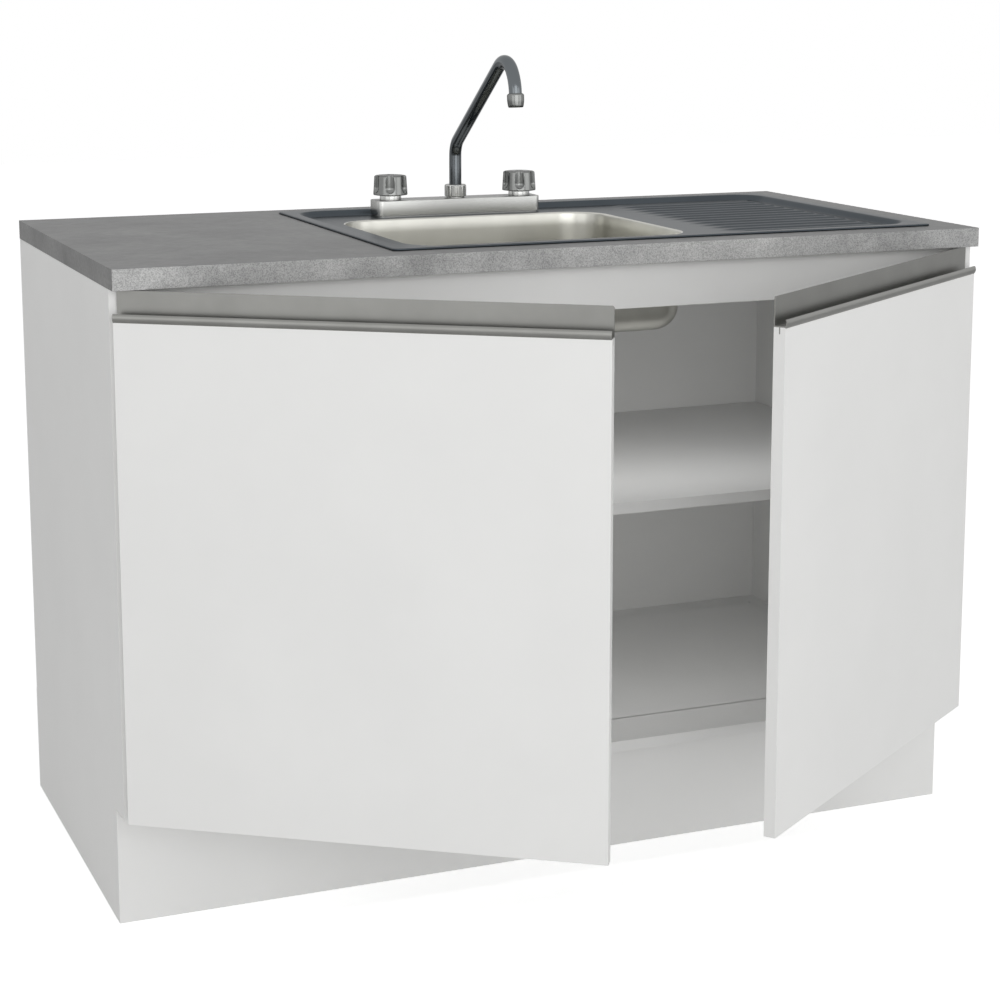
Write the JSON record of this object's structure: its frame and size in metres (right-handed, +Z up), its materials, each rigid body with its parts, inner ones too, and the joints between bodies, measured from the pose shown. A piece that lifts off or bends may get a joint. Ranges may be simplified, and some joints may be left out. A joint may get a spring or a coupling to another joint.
{
  "type": "kitchen sink unit",
  "caption": "Base cabinet with two handleless-profile doors, plinth and grey worktop holding an inset steel sink with drainer and a swivel-spout bridge tap.",
  "frame": {"origin": "on the floor under the middle of the carcass, halfway along its width and its depth", "axes": "+X to the right seen from the front, +Y from the doors to the back, +Z up"},
  "size_m": [1.2, 0.9376, 1.0706],
  "materials": {
    "white_board": "smooth white melamine board",
    "worktop_laminate": "fine grey stone-pattern laminate, satin",
    "pressed_steel": "satin brushed",
    "turned_steel": "polished",
    "seal_rubber": "soft matt",
    "waste_plastic": "moulded",
    "tap_metal": "satin chrome",
    "spout_metal": "dark polished chrome",
    "brass": "machined",
    "handle_aluminium": "satin anodised",
    "hinge_steel": "nickel-plated",
    "fastener_steel": "zinc-plated"
  },
  "bodies": {
    "cabinet": {"left_side_panel": "white_board", "right_side_panel": "white_board", "bottom_panel": "white_board", "shelf": "white_board", "back_panel": "white_board", "front_rail": "white_board", "back_rail": "white_board", "shelf_pins": "fastener_steel", "plinth_front": "white_board", "plinth_left": "white_board", "plinth_right": "white_board", "plinth_back": "white_board", "plinth_cross_rail": "white_board", "plinth_corner_blocks": "white_board", "base_screws": "fastener_steel", "worktop": "worktop_laminate", "sink": "pressed_steel", "sink_seal": "seal_rubber", "sink_clips": "fastener_steel", "sink_clip_screws": "fastener_steel", "waste_body": "turned_steel", "waste_gasket": "seal_rubber", "waste_lock_nut": "waste_plastic", "waste_tailpiece": "turned_steel", "tap_body": "tap_metal", "left_valve_bonnet": "tap_metal", "right_valve_bonnet": "tap_metal", "spout_nut": "tap_metal", "inlet_shanks": "brass", "shank_nuts": "brass", "left_hinge_arms": "hinge_steel", "right_hinge_arms": "hinge_steel", "left_hinge_plates": "hinge_steel", "right_hinge_plates": "hinge_steel", "arm_pins": "hinge_steel", "plate_screws": "fastener_steel"},
    "left_hinge_links": {"left_hinge_links": "hinge_steel"},
    "right_hinge_links": {"right_hinge_links": "hinge_steel"},
    "left_door": {"left_door": "white_board", "left_handle": "handle_aluminium", "left_bumpers": "seal_rubber", "left_hinge_cups": "hinge_steel", "left_cup_pins": "hinge_steel", "left_cup_screws": "fastener_steel"},
    "right_door": {"right_door": "white_board", "right_handle": "handle_aluminium", "right_bumpers": "seal_rubber", "right_hinge_cups": "hinge_steel", "right_cup_pins": "hinge_steel", "right_cup_screws": "fastener_steel"},
    "left_knob": {"left_knob": "tap_metal", "left_valve_stem": "brass", "left_knob_screw": "fastener_steel"},
    "right_knob": {"right_knob": "tap_metal", "right_valve_stem": "brass", "right_knob_screw": "fastener_steel"},
    "spout": {"spout": "spout_metal", "aerator": "tap_metal"},
    "strainer_basket": {"strainer_basket": "turned_steel"}
  },
  "joints": [
    {"name": "left_hinge_link", "type": "hinge", "parent": "cabinet", "child": "left_hinge_links", "pos_m": [-0.5605, -0.2878, 0.464], "axis": [0, 0, 1], "range_deg": [-19.9, 39.8]},
    {"name": "left_door_swing", "type": "hinge", "parent": "left_hinge_links", "child": "left_door", "pos_m": [-0.57965, -0.30217, 0.464], "axis": [0, 0, 1], "range_deg": [-109.76, 54.88]},
    {"name": "right_hinge_link", "type": "hinge", "parent": "cabinet", "child": "right_hinge_links", "pos_m": [0.5605, -0.2878, 0.464], "axis": [0, 0, 1], "range_deg": [-39.8, 19.9]},
    {"name": "right_door_swing", "type": "hinge", "parent": "right_hinge_links", "child": "right_door", "pos_m": [0.57965, -0.30217, 0.464], "axis": [0, 0, 1], "range_deg": [-54.88, 109.76]},
    {"name": "left_knob_turn", "type": "hinge", "parent": "cabinet", "child": "left_knob", "pos_m": [-0.0776, 0.193, 0.87], "axis": [0, 0, 1], "range_deg": [0, 90]},
    {"name": "right_knob_turn", "type": "hinge", "parent": "cabinet", "child": "right_knob", "pos_m": [0.1256, 0.193, 0.87], "axis": [0, 0, 1], "range_deg": [-90, 0]},
    {"name": "spout_swivel", "type": "hinge", "parent": "cabinet", "child": "spout", "pos_m": [0.024, 0.193, 0.87], "axis": [0, 0, 1], "range_deg": [-100, 100]},
    {"name": "basket_lift", "type": "slide", "parent": "cabinet", "child": "strainer_basket", "axis": [0, 0, 1], "range_m": [0, 0.12]}
  ],
  "couplings": [
    {"joint": "left_hinge_link", "follows": "left_door_swing", "ratio": -0.36224},
    {"joint": "right_hinge_link", "follows": "right_door_swing", "ratio": -0.36224}
  ]
}
